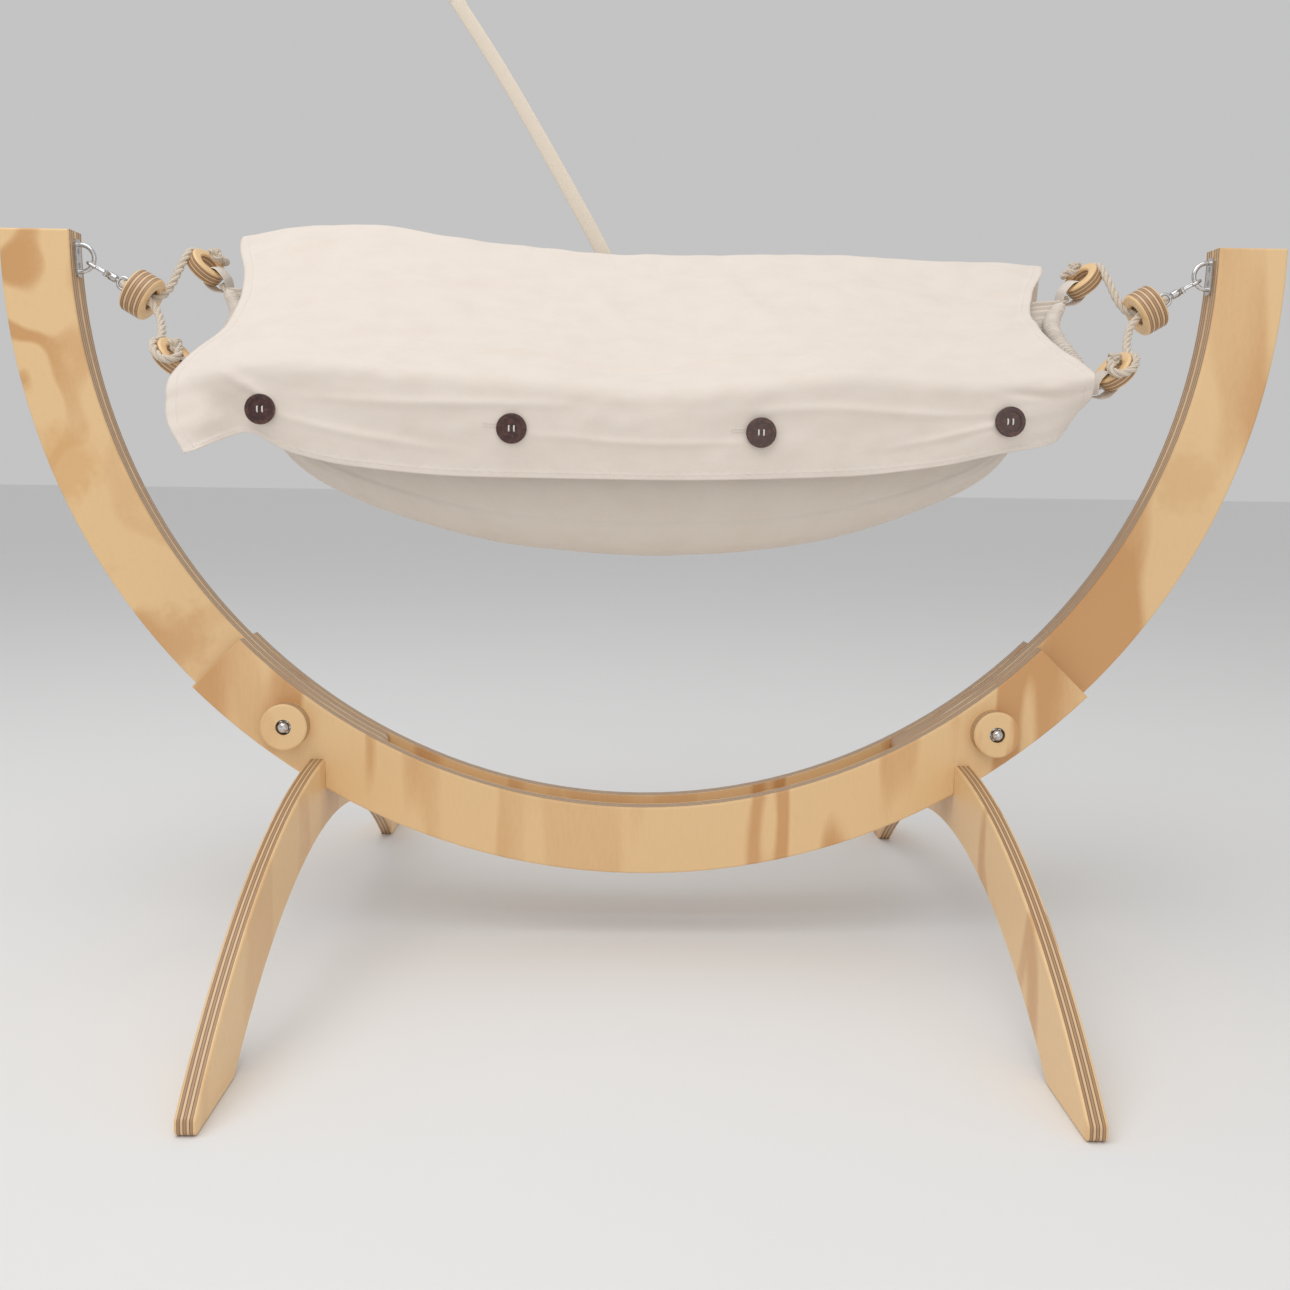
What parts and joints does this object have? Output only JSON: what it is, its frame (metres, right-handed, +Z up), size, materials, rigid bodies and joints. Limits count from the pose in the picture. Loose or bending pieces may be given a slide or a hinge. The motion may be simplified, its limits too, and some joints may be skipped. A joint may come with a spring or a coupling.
{
  "type": "hammock on stand",
  "caption": "Cradle hammock: a buttoned cotton sling hung by ropes, rings and snap hooks between the tips of a plywood arc on two arched legs.",
  "frame": {"origin": "on the floor under the middle of the stand", "axes": "+X towards the hammock's right-hand end, +Y towards its back, +Z up"},
  "size_m": [1.4, 0.956, 1.2112],
  "materials": {
    "pine_plywood": "satin",
    "turned_plywood": "satin",
    "zinc_steel": "satin",
    "polished_steel": "polished",
    "cotton_rope": "matte",
    "cover_cotton": "matte",
    "sling_cotton": "matte",
    "brown_button": "gloss",
    "white_thread": "matte",
    "strap_webbing": "matte"
  },
  "bodies": {
    "stand": {"bolt_head_washers": "zinc_steel", "front_cheek": "pine_plywood", "left_arm_front_board": "pine_plywood", "left_arm_rear_board": "pine_plywood", "left_clamp_bolt": "zinc_steel", "left_leg": "pine_plywood", "left_pad_eye": "polished_steel", "left_rear_disc": "turned_plywood", "pad_eye_screws": "zinc_steel", "rear_cheek": "pine_plywood", "right_arm_front_board": "pine_plywood", "right_arm_rear_board": "pine_plywood", "right_clamp_bolt": "zinc_steel", "right_leg": "pine_plywood", "right_pad_eye": "polished_steel", "right_rear_disc": "turned_plywood"},
    "swing": {"button_threads": "white_thread", "cover": "cover_cotton", "cover_buttons": "brown_button", "left_back_corner_ring": "turned_plywood", "left_end_casing": "sling_cotton", "left_front_corner_ring": "turned_plywood", "left_gate_pin": "polished_steel", "left_hang_ring": "turned_plywood", "left_hem_rope": "cotton_rope", "left_hook_body": "polished_steel", "left_ring_tabs": "sling_cotton", "left_suspension_rope": "cotton_rope", "left_swivel_link": "polished_steel", "pull_strap": "strap_webbing", "pull_strap_loop": "strap_webbing", "right_back_corner_ring": "turned_plywood", "right_end_casing": "sling_cotton", "right_front_corner_ring": "turned_plywood", "right_gate_pin": "polished_steel", "right_hang_ring": "turned_plywood", "right_hem_rope": "cotton_rope", "right_hook_body": "polished_steel", "right_ring_tabs": "sling_cotton", "right_suspension_rope": "cotton_rope", "right_swivel_link": "polished_steel", "sling": "sling_cotton"},
    "left_gate": {"left_hook_gate": "polished_steel"},
    "right_gate": {"right_hook_gate": "polished_steel"},
    "left_knob": {"left_dome_nut": "polished_steel", "left_knob_disc": "turned_plywood", "left_nut_washer": "zinc_steel"},
    "right_knob": {"right_dome_nut": "polished_steel", "right_knob_disc": "turned_plywood", "right_nut_washer": "zinc_steel"}
  },
  "joints": [
    {"name": "sling_swing", "type": "hinge", "parent": "stand", "child": "swing", "pos_m": [0, 0, 0.73898], "axis": [1, 0, 0], "range_deg": [-30, 30]},
    {"name": "left_gate_open", "type": "hinge", "parent": "swing", "child": "left_gate", "pos_m": [-0.59032, -0.0066, 0.72948], "axis": [0.5, 0, 0.866], "range_deg": [-32, 0], "stiffness_Nm_per_rad": 0.02},
    {"name": "right_gate_open", "type": "hinge", "parent": "swing", "child": "right_gate", "pos_m": [0.59032, -0.0066, 0.72948], "axis": [-0.5, 0, 0.866], "range_deg": [0, 32], "stiffness_Nm_per_rad": 0.02},
    {"name": "left_knob_turn", "type": "hinge", "parent": "stand", "child": "left_knob", "pos_m": [-0.39034, -0.045, 0.23971], "axis": [0, -1, 0], "continuous": true},
    {"name": "right_knob_turn", "type": "hinge", "parent": "stand", "child": "right_knob", "pos_m": [0.39034, -0.045, 0.23971], "axis": [0, -1, 0], "continuous": true}
  ]
}
